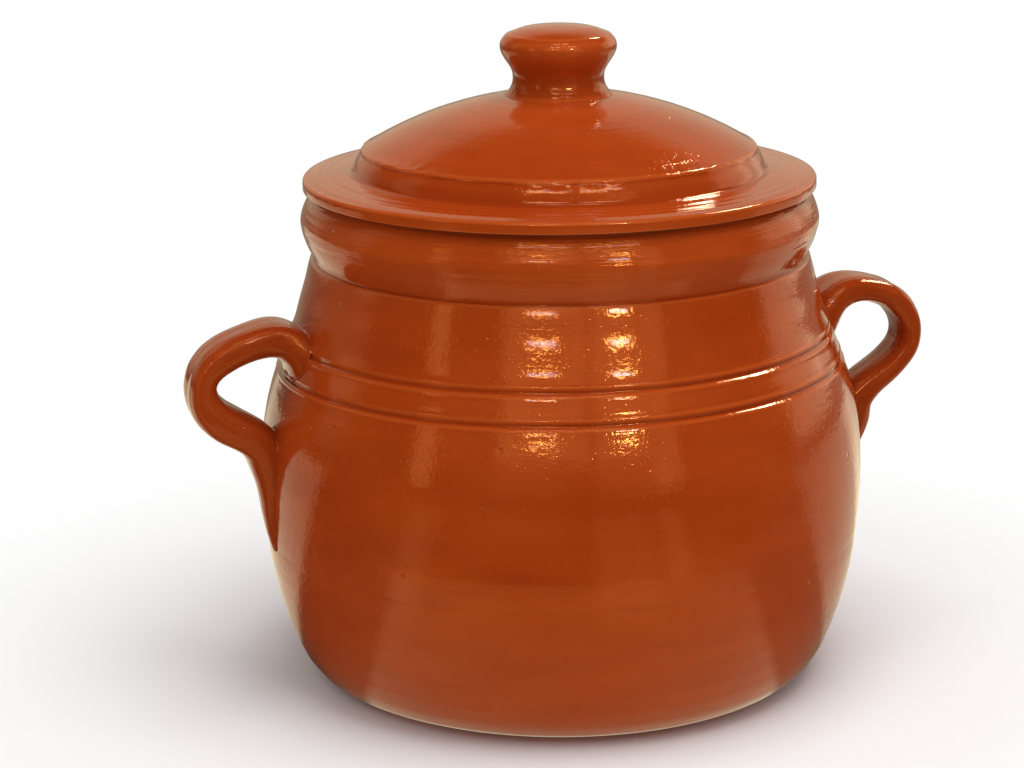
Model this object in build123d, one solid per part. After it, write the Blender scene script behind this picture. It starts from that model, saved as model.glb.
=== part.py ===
from build123d import *

import math
import os

# Glazed earthenware cooking pot: a thrown, round-bellied body with a thick collar rim, two
# pulled strap handles with pressed-down tails, and a domed, knobbed lid that lifts off.
# Millimetres. +Z is up, the handles lie near the X axis, the origin is the centre of the flat foot.

# Pot: outside wall. The step in the shoulder lies a little below the rim
foot_radius = 69.5
belly_radius = 98.0
belly_height = 63.5
shoulder_radius = 80.4
shoulder_drop = 22.4
rim_height = 160.0
# Stations up the wall: share of the belly's height, share of the belly's radius
lower_wall_shares = ((0.10, 0.863), (0.27, 0.918), (0.50, 0.963), (0.76, 0.991))
# Stations above the belly: share of the rise to the shoulder, share of the step inwards
upper_wall_shares = ((0.35, 0.12), (0.55, 0.37), (0.70, 0.63), (0.87, 0.88))

# Pot: inside
wall_thickness = 6.0
floor_thickness = 7.5
floor_radius = 66.0
mouth_depth = 13.0
mouth_edge = 1.5

# Pot: collar rim above the step in the shoulder
neck_inset = 1.2
neck_step = 0.8
neck_wall = 7.2
collar_swelling = 3.9
collar_drop = 9.7
seat_width = 4.5
# Collar outline below and above its widest line: share of the height, share of the swelling
collar_lower_shares = ((0.30, 0.42), (0.65, 0.82))
collar_upper_shares = ((0.36, 0.87), (0.78, 0.52))

# Pot: two tool lines cut while it turned, below the step in the shoulder
groove_drops = (33.7, 24.4)
groove_width = 2.4
groove_depth = 0.9

# Handles: strap pulled from the upper wall, out beyond the belly and down to it
strap_stand_out = 26.8
strap_top_drop = 13.4
strap_foot_drop = 57.8
strap_width = 18.0
strap_root_width = 25.0
strap_root_swelling = 1.8
left_strap_thickness = 10.8
right_strap_thickness = 8.4
left_handle_drop = 0.7
right_handle_turn = 4.5
# Middle line: share of the way from the wall out to the reach, share of the height
strap_line_shares = (
    (-0.14, 0.62), (0.00, 0.80), (0.15, 0.94), (0.36, 1.00), (0.61, 0.96), (0.83, 0.86),
    (0.97, 0.73), (1.00, 0.58), (0.94, 0.42), (0.78, 0.29), (0.56, 0.18), (0.33, 0.08), (0.08, -0.02),
)
strap_sections = 13
strap_flare_share = 0.30
strap_corner_share = 0.46

# Handles: tail pressed down the wall below each strap
tail_overlap = 3.0
tail_length = 27.0
tail_top_thickness = 6.8
tail_top_half_width = 9.0
tail_end_thickness = 0.8
tail_end_half_width = 2.2
# Stations down the tail: share of its length, share of its taper
tail_shares = ((0.00, 0.00), (0.24, 0.26), (0.46, 0.58), (0.70, 0.84), (1.00, 1.00))

# Lid: brim a little inside the collar, upright wall and dome
brim_inset = 1.0
brim_width = 15.5
brim_thickness = 3.8
brim_edge = 1.7
brim_rise = 1.2
lid_wall_height = 7.2
lid_wall_lean = 3.2
lid_wall_hollow = 0.7
dome_radius = 120.6
cover_thickness = 5.0
hollow_wall = 6.1
hollow_edge_wall = 4.8

# Lid: ring under the brim that keeps it central in the mouth
ring_clearance = 2.0
ring_thickness = 5.0
ring_depth = 9.5
ring_edge = 1.2

# Lid: knob
knob_foot_radius = 17.2
knob_foot_edge = 0.7
knob_waist_radius = 14.8
knob_waist_height = 5.4
knob_radius = 18.6
knob_widest_height = 15.1
knob_shoulder_radius = 14.9
knob_shoulder_height = 19.9
knob_height = 22.7
# Where waist meets bulge: shares between the sizes on each side
knob_turn_shares = (0.50, 0.52)

# Radii and heights that follow from the sizes above
shoulder_height = rim_height - shoulder_drop
neck_radius = shoulder_radius - neck_inset
mouth_radius = neck_radius - neck_wall
collar_radius = neck_radius + collar_swelling
collar_height = rim_height - collar_drop
strap_foot_height = shoulder_height - strap_foot_drop
tail_end_height = strap_foot_height - tail_length
brim_radius = collar_radius - brim_inset
lid_wall_foot_radius = brim_radius - brim_width
dome_edge_radius = lid_wall_foot_radius - lid_wall_lean
hollow_radius = lid_wall_foot_radius - hollow_wall
hollow_edge_radius = dome_edge_radius - hollow_edge_wall

# Halvings used when a curve is searched for a height
halvings = 40


def between(low, high, share):
    """The value at a share of the way from low to high."""
    return low + share * (high - low)


def turned(edges):
    """Solid turned about Z from edges drawn as (radius, height)."""
    return revolve(Plane.XZ * make_face(edges), Axis.Z)


def wall_stations(inset):
    """Points up the wall, foot to shoulder, moved in towards the axis by inset."""
    points = []
    for height_share, radius_share in lower_wall_shares:
        points.append((radius_share * belly_radius - inset, height_share * belly_height))
    points.append((belly_radius - inset, belly_height))
    for rise_share, step_share in upper_wall_shares:
        radius = between(belly_radius, shoulder_radius, step_share) - inset
        points.append((radius, between(belly_height, shoulder_height, rise_share)))
    points.append((shoulder_radius - inset, shoulder_height))
    return points


def rounded_corner(radius, height, wall_curve):
    """Curve from the end of a flat floor or foot, bending up into the wall."""
    start = wall_curve @ 0
    return Spline((radius, height), (start.X, start.Y), tangents=[(1, 0), wall_curve % 0])


outer_wall = Spline(*wall_stations(0))
foot_corner = rounded_corner(foot_radius, 0, outer_wall)


def wall_radius(height):
    """Outside radius of the wall at a height above the foot corner."""
    low, high = 0, 1
    for _ in range(halvings):
        middle = (low + high) / 2
        if (outer_wall @ middle).Y < height:
            low = middle
        else:
            high = middle
    return (outer_wall @ low).X


def wall_core():
    """Everything inside the outer wall, foot to shoulder: what the handles are pressed against."""
    return turned([
        Line((0, 0), (foot_radius, 0)),
        foot_corner,
        outer_wall,
        Line((shoulder_radius, shoulder_height), (0, shoulder_height)),
        Line((0, shoulder_height), (0, 0)),
    ])


def collar_edges():
    """Step above the shoulder, swelling collar and roll-off to the flat seat."""
    neck_height = shoulder_height + neck_step
    seat_outer = mouth_radius + mouth_edge + seat_width
    points = [(neck_radius, neck_height)]
    for height_share, swell_share in collar_lower_shares:
        radius = between(neck_radius, collar_radius, swell_share)
        points.append((radius, between(neck_height, collar_height, height_share)))
    points.append((collar_radius, collar_height))
    for height_share, swell_share in collar_upper_shares:
        radius = between(seat_outer, collar_radius, swell_share)
        points.append((radius, between(collar_height, rim_height, height_share)))
    points.append((seat_outer, rim_height))
    step = Line((shoulder_radius, shoulder_height), (neck_radius, neck_height))
    return [step, Spline(*points)]


def inside_edges():
    """Seat, mouth and inner wall, drawn from the rim down to the floor's centre."""
    mouth_bottom = rim_height - mouth_depth
    corner_height = rim_height - mouth_edge
    seat_inner = mouth_radius + mouth_edge
    inner_wall = Spline(*wall_stations(wall_thickness)[1:])
    shoulder = inner_wall @ 1
    return [
        Line((seat_inner + seat_width, rim_height), (seat_inner, rim_height)),
        RadiusArc((seat_inner, rim_height), (mouth_radius, corner_height), mouth_edge),
        Line((mouth_radius, corner_height), (mouth_radius, mouth_bottom)),
        Spline((mouth_radius, mouth_bottom), (shoulder.X, shoulder.Y),
               tangents=[(0, -1), -(inner_wall % 1)]),
        inner_wall,
        rounded_corner(floor_radius, floor_thickness, inner_wall),
        Line((floor_radius, floor_thickness), (0, floor_thickness)),
        Line((0, floor_thickness), (0, 0)),
    ]


def tool_line(height):
    """Ring with a V section that cuts one tool line into the wall."""
    radius = wall_radius(height)
    bottom = (radius - groove_depth, height)
    lower = (radius + groove_depth, height - groove_width)
    upper = (radius + groove_depth, height + groove_width)
    return turned([Line(bottom, lower), Line(lower, upper), Line(upper, bottom)])


def make_pot_body():
    """Thrown pot: flat foot, belly, tool lines, stepped neck, collar rim and inside."""
    outside = [Line((0, 0), (foot_radius, 0)), foot_corner, outer_wall]
    pot = turned(outside + collar_edges() + inside_edges())
    for drop in groove_drops:
        pot -= tool_line(shoulder_height - drop)
    return pot


def strap_plan(strap_thickness):
    """Middle line of the strap in the XZ plane, from inside the wall round and back into it."""
    reach = belly_radius + strap_stand_out - strap_thickness / 2
    top_height = shoulder_height - strap_top_drop - strap_thickness / 2
    wall = wall_radius(between(strap_foot_height, top_height, strap_line_shares[1][1]))
    points = []
    for reach_share, height_share in strap_line_shares:
        height = between(strap_foot_height, top_height, height_share)
        points.append((between(wall, reach, reach_share), 0, height))
    return Spline(*points)


def strap(strap_thickness):
    """Pulled strap, thick and wide where it leaves the wall and slimmer further round."""
    line = strap_plan(strap_thickness)
    sections = []
    for number in range(strap_sections):
        share = number / (strap_sections - 1)
        flare = max(0, 1 - share / strap_flare_share) ** 2
        width = between(strap_width, strap_root_width, flare)
        thickness = between(strap_thickness, strap_thickness + strap_root_swelling, flare)
        outline = RectangleRounded(width, thickness, strap_corner_share * thickness)
        sections.append(Plane(line @ share, x_dir=(0, 1, 0), z_dir=line % share) * outline)
    return loft(sections)


def tail():
    """Thumbed-down end of the strap, thinning to a point on the belly."""
    sections = []
    top_height = strap_foot_height + tail_overlap
    for length_share, taper_share in tail_shares:
        height = between(top_height, tail_end_height, length_share)
        thickness = between(tail_top_thickness, tail_end_thickness, taper_share)
        half_width = between(tail_top_half_width, tail_end_half_width, taper_share)
        outline = Ellipse(thickness, half_width)
        sections.append(Plane((wall_radius(height), 0, height)) * outline)
    return loft(sections)


def make_handle(strap_thickness, drop):
    """Handle on the +X side, set lower by drop, with its roots cut to the wall."""
    return Pos(0, 0, -drop) * (strap(strap_thickness) + tail()) - wall_core()


def dome_height(radius, shell_radius):
    """Height of a shell of the dome at a distance from the axis."""
    edge_height = rim_height + brim_thickness + brim_rise + lid_wall_height
    centre_height = edge_height - math.sqrt(dome_radius**2 - dome_edge_radius**2)
    return centre_height + math.sqrt(shell_radius**2 - radius**2)


def brim_edges():
    """Underside, rounded edge and gently rising top of the brim, out and back in."""
    edge_inner = brim_radius - brim_edge
    middle_height = rim_height + brim_thickness / 2
    top_height = rim_height + brim_thickness
    return [
        Line((hollow_radius, rim_height), (edge_inner, rim_height)),
        ThreePointArc((edge_inner, rim_height), (brim_radius, middle_height), (edge_inner, top_height)),
        Line((edge_inner, top_height), (lid_wall_foot_radius, top_height + brim_rise)),
    ]


def lid_wall_edge():
    """Short upright wall between brim and dome, pressed slightly hollow."""
    foot_height = rim_height + brim_thickness + brim_rise
    middle_radius = (lid_wall_foot_radius + dome_edge_radius) / 2 - lid_wall_hollow
    middle_height = foot_height + lid_wall_height / 2
    top = (dome_edge_radius, foot_height + lid_wall_height)
    return ThreePointArc((lid_wall_foot_radius, foot_height), (middle_radius, middle_height), top)


def dome_arc(first_radius, last_radius, shell_radius):
    """Arc of one shell of the dome between two distances from the axis."""
    middle_radius = (first_radius + last_radius) / 2
    points = []
    for radius in (first_radius, middle_radius, last_radius):
        points.append((radius, dome_height(radius, shell_radius)))
    return ThreePointArc(*points)


def make_lid_cover():
    """Lid without its knob: brim, wall and dome, hollow underneath."""
    inner_shell = dome_radius - cover_thickness
    seat_height = dome_height(knob_foot_radius, dome_radius)
    inner_edge = (hollow_edge_radius, dome_height(hollow_edge_radius, inner_shell))
    crown_inside = (0, dome_height(0, inner_shell))
    return turned(brim_edges() + [
        lid_wall_edge(),
        dome_arc(dome_edge_radius, knob_foot_radius, dome_radius),
        Line((knob_foot_radius, seat_height), (0, seat_height)),
        Line((0, seat_height), crown_inside),
        dome_arc(0, hollow_edge_radius, inner_shell),
        Line(inner_edge, (hollow_radius, rim_height)),
    ])


def make_lid_locating_ring():
    """Ring luted under the brim that hangs in the mouth with clearance all round."""
    outer_radius = mouth_radius - ring_clearance
    inner_radius = outer_radius - ring_thickness
    bottom = rim_height - ring_depth
    ring = turned([
        Line((inner_radius, rim_height), (inner_radius, bottom)),
        Line((inner_radius, bottom), (outer_radius, bottom)),
        Line((outer_radius, bottom), (outer_radius, rim_height)),
        Line((outer_radius, rim_height), (inner_radius, rim_height)),
    ])
    lower_edges = ring.edges().group_by(Axis.Z)[0]
    return fillet(lower_edges, ring_edge)


def crown_arc(radius, edge_height, top_height):
    """Half of a spherical cap's section, from its edge up to the axis."""
    rise = top_height - edge_height
    sphere_radius = (radius**2 + rise**2) / (2 * rise)
    middle = radius / 2
    middle_height = top_height - sphere_radius + math.sqrt(sphere_radius**2 - middle**2)
    return ThreePointArc((radius, edge_height), (middle, middle_height), (0, top_height))


def make_lid_knob():
    """Knob: flared foot, waist, bulging edge and a low crown."""
    seat = dome_height(knob_foot_radius, dome_radius)
    foot = (knob_foot_radius, seat + knob_foot_edge)
    waist = (knob_waist_radius, seat + knob_waist_height)
    turn = (
        between(knob_waist_radius, knob_radius, knob_turn_shares[0]),
        seat + between(knob_waist_height, knob_widest_height, knob_turn_shares[1]),
    )
    widest = (knob_radius, seat + knob_widest_height)
    shoulder = (knob_shoulder_radius, seat + knob_shoulder_height)
    crown_height = seat + knob_height
    return turned([
        Line((0, seat), (knob_foot_radius, seat)),
        Line((knob_foot_radius, seat), foot),
        ThreePointArc(foot, waist, turn),
        ThreePointArc(turn, widest, shoulder),
        crown_arc(knob_shoulder_radius, seat + knob_shoulder_height, crown_height),
        Line((0, crown_height), (0, seat)),
    ])


pieces = {
    "pot_body": make_pot_body(),
    "left_handle": mirror(make_handle(left_strap_thickness, left_handle_drop), Plane.YZ),
    "right_handle": Rot(0, 0, -right_handle_turn) * make_handle(right_strap_thickness, 0),
    "lid_cover": make_lid_cover(),
    "lid_locating_ring": make_lid_locating_ring(),
    "lid_knob": make_lid_knob(),
}

os.makedirs("parts", exist_ok=True)
for name, shape in pieces.items():
    export_step(shape, f"parts/{name}.step")
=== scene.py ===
import math

import bmesh
import bpy
import numpy as np
from mathutils import Matrix, Vector


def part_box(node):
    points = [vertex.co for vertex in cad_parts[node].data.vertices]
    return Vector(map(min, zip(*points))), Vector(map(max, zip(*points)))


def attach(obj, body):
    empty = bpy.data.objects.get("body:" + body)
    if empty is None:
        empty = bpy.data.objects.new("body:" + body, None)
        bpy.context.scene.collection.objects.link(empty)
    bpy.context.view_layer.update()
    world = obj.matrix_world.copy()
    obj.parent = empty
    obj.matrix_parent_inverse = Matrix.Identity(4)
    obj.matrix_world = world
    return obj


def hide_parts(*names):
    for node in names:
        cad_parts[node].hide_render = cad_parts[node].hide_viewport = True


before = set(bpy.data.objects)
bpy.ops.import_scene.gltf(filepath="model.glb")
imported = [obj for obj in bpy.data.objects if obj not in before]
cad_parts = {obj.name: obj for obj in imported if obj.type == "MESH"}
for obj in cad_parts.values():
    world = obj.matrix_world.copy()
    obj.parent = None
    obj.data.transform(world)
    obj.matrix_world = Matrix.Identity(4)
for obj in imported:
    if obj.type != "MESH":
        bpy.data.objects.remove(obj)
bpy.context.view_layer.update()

# A glazed earthenware pot, turned on the wheel, with pulled strap handles and a knobbed lid.
# Metres. The pot's axis is Z, its foot stands at the origin and its handles lie along X.

mm = 0.001
full_turn = 2 * math.pi

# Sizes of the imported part
pot_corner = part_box("pot_body")[1]
brim_low, brim_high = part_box("lid_cover")
ring_low, ring_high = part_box("lid_locating_ring")
knob_low, knob_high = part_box("lid_knob")
right_low, right_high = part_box("right_handle")
left_low, left_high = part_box("left_handle")
belly_radius = pot_corner.y
rim_height = pot_corner.z

# Pot outline: share of the belly's radius, share of the rim's height
foot_corner_shares = ((0.709, 0.0000), (0.788, 0.0085), (0.837, 0.0230))
wall_shares = (
    (0.863, 0.0397), (0.918, 0.1072), (0.963, 0.1984), (0.991, 0.3016), (1.000, 0.3969),
    (0.9790, 0.5590), (0.9340, 0.6516), (0.8872, 0.7211), (0.8455, 0.7998), (0.8232, 0.8545),
    (0.8183, 0.8610), (0.8109, 0.8640),
)
collar_shares = (
    (0.8109, 0.8640), (0.8124, 0.8700), (0.8249, 0.8873), (0.8408, 0.9131), (0.8479, 0.9394),
    (0.8405, 0.9590), (0.8205, 0.9830), (0.7900, 1.0000),
)
seat_inner_share = 0.7500
mouth_share = 0.7347
mouth_bottom_share = 0.9188
floor_share = 0.6735
wall_thickness = 6 * mm
floor_thickness = 7.5 * mm
mouth_rounding = 1.5 * mm

# Marks the maker left on the pot: share of the rim's height, half width, rise
tool_line_shares = (0.6530, 0.7105)
tool_line_half_width = 0.75 * mm
tool_line_depth = 0.50 * mm
tool_lip_gap = 1.6 * mm
tool_lip_half_width = 0.50 * mm
tool_lip_rise = 0.08 * mm
shoulder_swell_share = 0.779
shoulder_swell_half_width = 4.2 * mm
shoulder_swell_rise = 0.30 * mm
faint_ridge_shares = (0.686, 0.674, 0.636)
faint_ridge_half_width = 0.5 * mm
faint_ridge_rise = 0.04 * mm
scratch_share = 0.302
scratch_half_width = 0.30 * mm
scratch_depth = 0.05 * mm

# Lid outline: shares of the brim's radius and of the height from seat to knob
brim_thickness_share = 0.131
brim_rise_share = 0.1725
brim_top_rounding = 1.1 * mm
brim_low_rounding = 0.6 * mm
lid_wall_foot_share = 0.8112
lid_wall_top_share = 0.421
dome_edge_share = 0.7722
lid_wall_swell = 0.15 * mm
lid_wall_rounding = 2.2 * mm
ridge_width = 0.8 * mm
ridge_rise = 0.16 * mm
cover_thickness = 5 * mm
hollow_share = 0.7369
hollow_edge_share = 0.7138
brim_ring_shares = (0.952, 0.914, 0.872, 0.838)
brim_ring_half_width = 1.5 * mm
brim_ring_rise = 0.22 * mm

# Knob outline: shares of its largest radius and of its height
knob_shares = (
    (0.925, 0.000), (0.862, 0.055), (0.805, 0.135), (0.780, 0.245), (0.800, 0.350), (0.868, 0.450),
    (0.950, 0.555), (0.992, 0.640), (0.996, 0.710), (0.965, 0.780), (0.915, 0.825),
    (0.860, 0.856), (0.790, 0.884), (0.690, 0.914), (0.590, 0.938), (0.400, 0.960), (0.200, 0.975),
    (0.000, 0.980),
)
knob_crease_share = 0.890
knob_crease_half_width = 0.7 * mm
knob_crease_rise = 0.25 * mm

# Locating ring
ring_thickness = 5 * mm
ring_rounding = 1.2 * mm

# Strap handles: (share from wall to reach, share from foot to top, share of the usual
# half width, share of the usual half thickness), from inside the wall round to the tail's tip
strap_half_width = 9 * mm
strap_half_thickness = 4.3 * mm
strap_dish = 1.0 * mm
strap_squareness = 0.72
strap_wall_share = 0.902
strap_top_gap = 4.3 * mm
strap_foot_gap = 27 * mm
right_strap_shares = (
    (-0.059, 0.605, 1.25, 1.10), (-0.019, 0.767, 1.36, 1.30), (0.090, 0.922, 1.28, 1.32),
    (0.270, 0.999, 1.10, 1.20), (0.500, 1.001, 1.00, 1.08), (0.721, 0.942, 1.00, 1.08),
    (0.885, 0.822, 1.00, 1.08), (0.963, 0.673, 1.00, 1.00), (0.957, 0.536, 1.00, 0.95),
    (0.870, 0.409, 1.00, 0.95), (0.696, 0.274, 0.98, 1.05), (0.516, 0.164, 0.94, 1.22),
    (0.398, 0.055, 0.90, 1.42), (0.360, -0.090, 0.82, 1.50), (0.317, -0.269, 0.70, 1.20),
    (0.286, -0.481, 0.50, 0.75), (0.276, -0.668, 0.30, 0.42), (0.264, -0.805, 0.12, 0.16),
)
left_strap_shares = (
    (-0.081, 0.588, 1.25, 1.10), (-0.050, 0.745, 1.38, 1.32), (0.031, 0.892, 1.32, 1.45),
    (0.180, 0.959, 1.14, 1.44), (0.401, 0.952, 1.03, 1.36), (0.612, 0.905, 1.02, 1.31),
    (0.799, 0.827, 1.00, 1.26), (0.933, 0.710, 1.00, 1.11), (0.967, 0.571, 1.00, 1.17),
    (0.908, 0.431, 1.00, 1.38), (0.749, 0.299, 1.00, 1.51), (0.541, 0.194, 0.97, 1.48),
    (0.386, 0.077, 0.90, 1.46), (0.311, -0.090, 0.80, 1.28), (0.286, -0.277, 0.66, 1.00),
    (0.286, -0.476, 0.50, 0.70), (0.280, -0.650, 0.30, 0.42), (0.264, -0.787, 0.12, 0.16),
)
root_depth = 2.5 * mm
right_strap_turn = math.radians(-4.5)

# How finely outlines are drawn, and what is kept of them
fine_step = 0.2 * mm
longest_step = 2.4 * mm
bend_kept = math.radians(4)
corner_kept = math.radians(12)

# Camera, as the photograph was taken
camera_azimuth = math.radians(-109)
camera_distance = 878.8 * mm
camera_height = 324.7 * mm
camera_pitch = math.radians(14.73)
camera_yaw = math.radians(-1.03)
camera_roll = math.radians(-0.61)
camera_lens = 97.7


def add(tree, kind, inputs=(), **settings):
    """Adds a node, sets its options and fills its inputs with values or links."""
    made = tree.nodes.new(kind)
    for option, value in settings.items():
        setattr(made, option, value)
    for key, value in dict(inputs).items():
        if isinstance(value, bpy.types.NodeSocket):
            tree.links.new(value, made.inputs[key])
        else:
            made.inputs[key].default_value = value
    return made


def owner(values):
    """The tree of the first value that is a node's socket."""
    return next(value.id_data for value in values if isinstance(value, bpy.types.NodeSocket))


def calc(operation, *values, kind="ShaderNodeMath"):
    """A math node's result, in the tree that its linked values are from."""
    return add(owner(values), kind, enumerate(values), operation=operation).outputs[0]


def times(first, second):
    """Two values multiplied."""
    return calc("MULTIPLY", first, second)


def plus(first, second):
    """Two values added."""
    return calc("ADD", first, second)


def whole(operation, *values):
    """A whole-number math node's result."""
    return calc(operation, *values, kind="FunctionNodeIntegerMath")


def vector_calc(operation, *values):
    """A vector math node's result."""
    return calc(operation, *values, kind="ShaderNodeVectorMath")


def measured(operation, *vectors):
    """The number that a vector math node gives."""
    made = add(owner(vectors), "ShaderNodeVectorMath", enumerate(vectors), operation=operation)
    return made.outputs["Value"]


def remapped(value, start, end, low=0.0, high=1.0, course="LINEAR"):
    """A value between start and end brought to between low and high."""
    inputs = {"Value": value, "From Min": start, "From Max": end, "To Min": low, "To Max": high}
    return add(value.id_data, "ShaderNodeMapRange", inputs, interpolation_type=course).outputs[0]


def combine(*parts):
    """A vector from three values."""
    return add(owner(parts), "ShaderNodeCombineXYZ", enumerate(parts)).outputs[0]


def scaled(vector, amount):
    """A vector times a value."""
    inputs = {0: vector, "Scale": amount}
    return add(owner((vector, amount)), "ShaderNodeVectorMath", inputs, operation="SCALE").outputs[0]


def new_tree(name, kind, inputs, outputs):
    """A node group. A socket is given by its name and its usual value, or its type in a word."""
    tree = bpy.data.node_groups.new(name, kind)
    for direction, sockets in (("INPUT", inputs), ("OUTPUT", outputs)):
        for label, usual in sockets.items():
            typed = usual if isinstance(usual, str) else type(usual).__name__.title()
            socket = tree.interface.new_socket(label, in_out=direction, socket_type="NodeSocket" + typed)
            if typed != usual:
                socket.default_value = usual
    ends = add(tree, "NodeGroupInput"), add(tree, "NodeGroupOutput")
    return tree, ends[0].outputs, ends[1].inputs


def spline_through(stations, spacing=fine_step):
    """Points a spacing apart on a natural cubic spline through stations of any number of values.
    The first two values of a station are its place."""
    known = np.array(stations, float)
    steps = np.hypot(*np.diff(known[:, :2], axis=0).T)
    along = np.concatenate(([0], np.cumsum(steps)))
    count = len(known)
    bends = np.eye(count)
    pulls = np.zeros_like(known)
    for i in range(1, count - 1):
        before, after = steps[i - 1], steps[i]
        bends[i, i - 1:i + 2] = before, 2 * (before + after), after
        pulls[i] = 6 * ((known[i + 1] - known[i]) / after - (known[i] - known[i - 1]) / before)
    curves = np.linalg.solve(bends, pulls)
    wanted = np.linspace(0, along[-1], max(2, round(along[-1] / spacing) + 1))
    span = np.clip(np.searchsorted(along, wanted, side="right") - 1, 0, count - 2)
    width = steps[span][:, None]
    ahead = (wanted - along[span])[:, None] / width
    behind = 1 - ahead
    return (
        behind * known[span] + ahead * known[span + 1]
        + width**2 / 6 * ((behind**3 - behind) * curves[span] + (ahead**3 - ahead) * curves[span + 1])
    )


def straight(start, end, spacing=fine_step):
    """Points a spacing apart on a straight line."""
    count = max(2, round(math.dist(start, end) / spacing) + 1)
    return np.linspace(start, end, count)


def arc(centre, radius, start, end, spacing=fine_step):
    """Points a spacing apart on an arc between two angles in degrees."""
    low, high = math.radians(start), math.radians(end)
    angles = np.linspace(low, high, max(3, round(abs(high - low) * radius / spacing) + 1))
    return np.column_stack((centre[0] + radius * np.cos(angles), centre[1] + radius * np.sin(angles)))


def normals_of(line):
    """Unit vectors to the right of the way along a line, which is outwards on a turned outline."""
    ways = np.gradient(line, axis=0)
    ways /= np.maximum(np.linalg.norm(ways, axis=1), 1e-12)[:, None]
    return np.column_stack((ways[:, 1], -ways[:, 0]))


def bell(values, centre, half_width):
    """1 at the centre, falling off smoothly to both sides."""
    return np.exp(-(((values - centre) / half_width) ** 2))


def ramp(values, start, end):
    """0 before the start and 1 after the end, smooth between."""
    share = np.clip((values - start) / (end - start), 0, 1)
    return share * share * (3 - 2 * share)


def raised(line, rises):
    """A line moved out along its normals by a rise at each point."""
    return line + normals_of(line) * rises[:, None]


def dressed(line, rings=0.0, bare=0.0, ragged=0.0, drift=0.0):
    """A stretch of outline with its weights: finger rings, bare clay, raggedness and drift."""
    columns = [np.broadcast_to(weight, len(line)) for weight in (rings, bare, ragged, drift)]
    return np.column_stack([line] + columns)


def thinned(outline):
    """A finely drawn outline with points kept where it bends and at least one in each long step."""
    ways = np.diff(outline[:, :2], axis=0)
    angles = np.unwrap(np.arctan2(ways[:, 1], ways[:, 0]))
    turns = np.abs(np.diff(angles, prepend=angles[0]))
    kept = [0]
    turned = 0.0
    for i in range(1, len(outline) - 1):
        turned += turns[i]
        far = math.dist(outline[i, :2], outline[kept[-1], :2]) > longest_step
        near_corner = max(turns[i - 1:i + 2]) > corner_kept
        if turned > bend_kept or far or near_corner:
            kept.append(i)
            turned = 0.0
    return outline[kept + [len(outline) - 1]]


def joined(*stretches):
    """One outline from stretches that follow on from each other, without doubled points."""
    whole_line = np.vstack(stretches)
    gaps = np.linalg.norm(np.diff(whole_line[:, :2], axis=0), axis=1)
    return whole_line[np.concatenate(([True], gaps > 1e-3 * mm))]


# Bend of an outline, per metre, that makes the glaze thin or pool by about three quarters
full_pooling_bend = 450


def pooling(line):
    """Where glaze thins (below 0) on edges and pools (above 0) in hollows, from the line's bend."""
    ways = np.gradient(line, axis=0)
    lengths = np.maximum(np.linalg.norm(ways, axis=1), 1e-9)
    angles = np.unwrap(np.arctan2(ways[:, 1], ways[:, 0]))
    bends = np.gradient(angles) / lengths
    return np.tanh(-bends / full_pooling_bend)


def in_scene(name, data):
    """A new object in the scene."""
    made = bpy.data.objects.new(name, data)
    bpy.context.scene.collection.objects.link(made)
    return made


def in_plane(across, up):
    """Points or vectors in the XZ plane."""
    return np.column_stack((across, np.zeros(len(up)), up))


def line_object(name, points, numbers, vectors):
    """A mesh of bare points that carries attributes: the drawing that a piece is made from."""
    mesh = bpy.data.meshes.new(name)
    mesh.from_pydata([tuple(p) for p in points], [(i, i + 1) for i in range(len(points) - 1)], [])
    for label, values in numbers.items():
        flat = np.array(values, np.float32)
        mesh.attributes.new(label, "FLOAT", "POINT").data.foreach_set("value", flat)
    for label, values in vectors.items():
        flat = np.array(values, np.float32).ravel()
        mesh.attributes.new(label, "FLOAT_VECTOR", "POINT").data.foreach_set("vector", flat)
    return in_scene(name, mesh)


def turned_drawing(name, outline, combing=None):
    """Drawing of a turned piece: its outline in the XZ plane with weights and directions. Combing
    is how strong the throwing marks are along it."""
    outline = thinned(outline)
    line = outline[:, :2]
    steps = np.linalg.norm(np.diff(line, axis=0), axis=1)
    out = normals_of(line)
    out[line[:, 0] < 1e-6, 0] = 0
    combed = np.ones(len(line)) if combing is None else combing(line)
    numbers = {
        "combed": combed, "rings": outline[:, 2], "bare": outline[:, 3], "ragged": outline[:, 4],
        "drift": outline[:, 5], "across": np.concatenate(([0], np.cumsum(steps))), "pool": pooling(line),
    }
    vectors = {"out": in_plane(out[:, 0], out[:, 1]), "way": in_plane(-out[:, 1], out[:, 0])}
    return line_object(name, in_plane(line[:, 0], line[:, 1]), numbers, vectors)


def at_point(drawing, index, value, kind):
    """A field's value on a drawing at a point number."""
    inputs = {"Geometry": drawing, "Value": value, "Index": index}
    return add(drawing.id_data, "GeometryNodeSampleIndex", inputs, data_type=kind).outputs[0]


def sampled(drawing, index, label, kind="FLOAT"):
    """A drawing's attribute at a point number."""
    named = add(drawing.id_data, "GeometryNodeInputNamedAttribute", {"Name": label}, data_type=kind)
    return at_point(drawing, index, named.outputs["Attribute"], kind)


def sampled_place(drawing, index):
    """A drawing's position at a point number."""
    place = add(drawing.id_data, "GeometryNodeInputPosition").outputs[0]
    return at_point(drawing, index, place, "FLOAT_VECTOR")


def noise(place, seed, scale, detail):
    """Noise about 0 from -1 to 1, four-dimensional so that a seed changes it."""
    inputs = {"Vector": place, "W": seed, "Scale": scale, "Detail": detail}
    made = add(place.id_data, "ShaderNodeTexNoise", inputs, noise_dimensions="4D")
    return calc("MULTIPLY_ADD", made.outputs[0], 2.0, -1.0)


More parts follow.
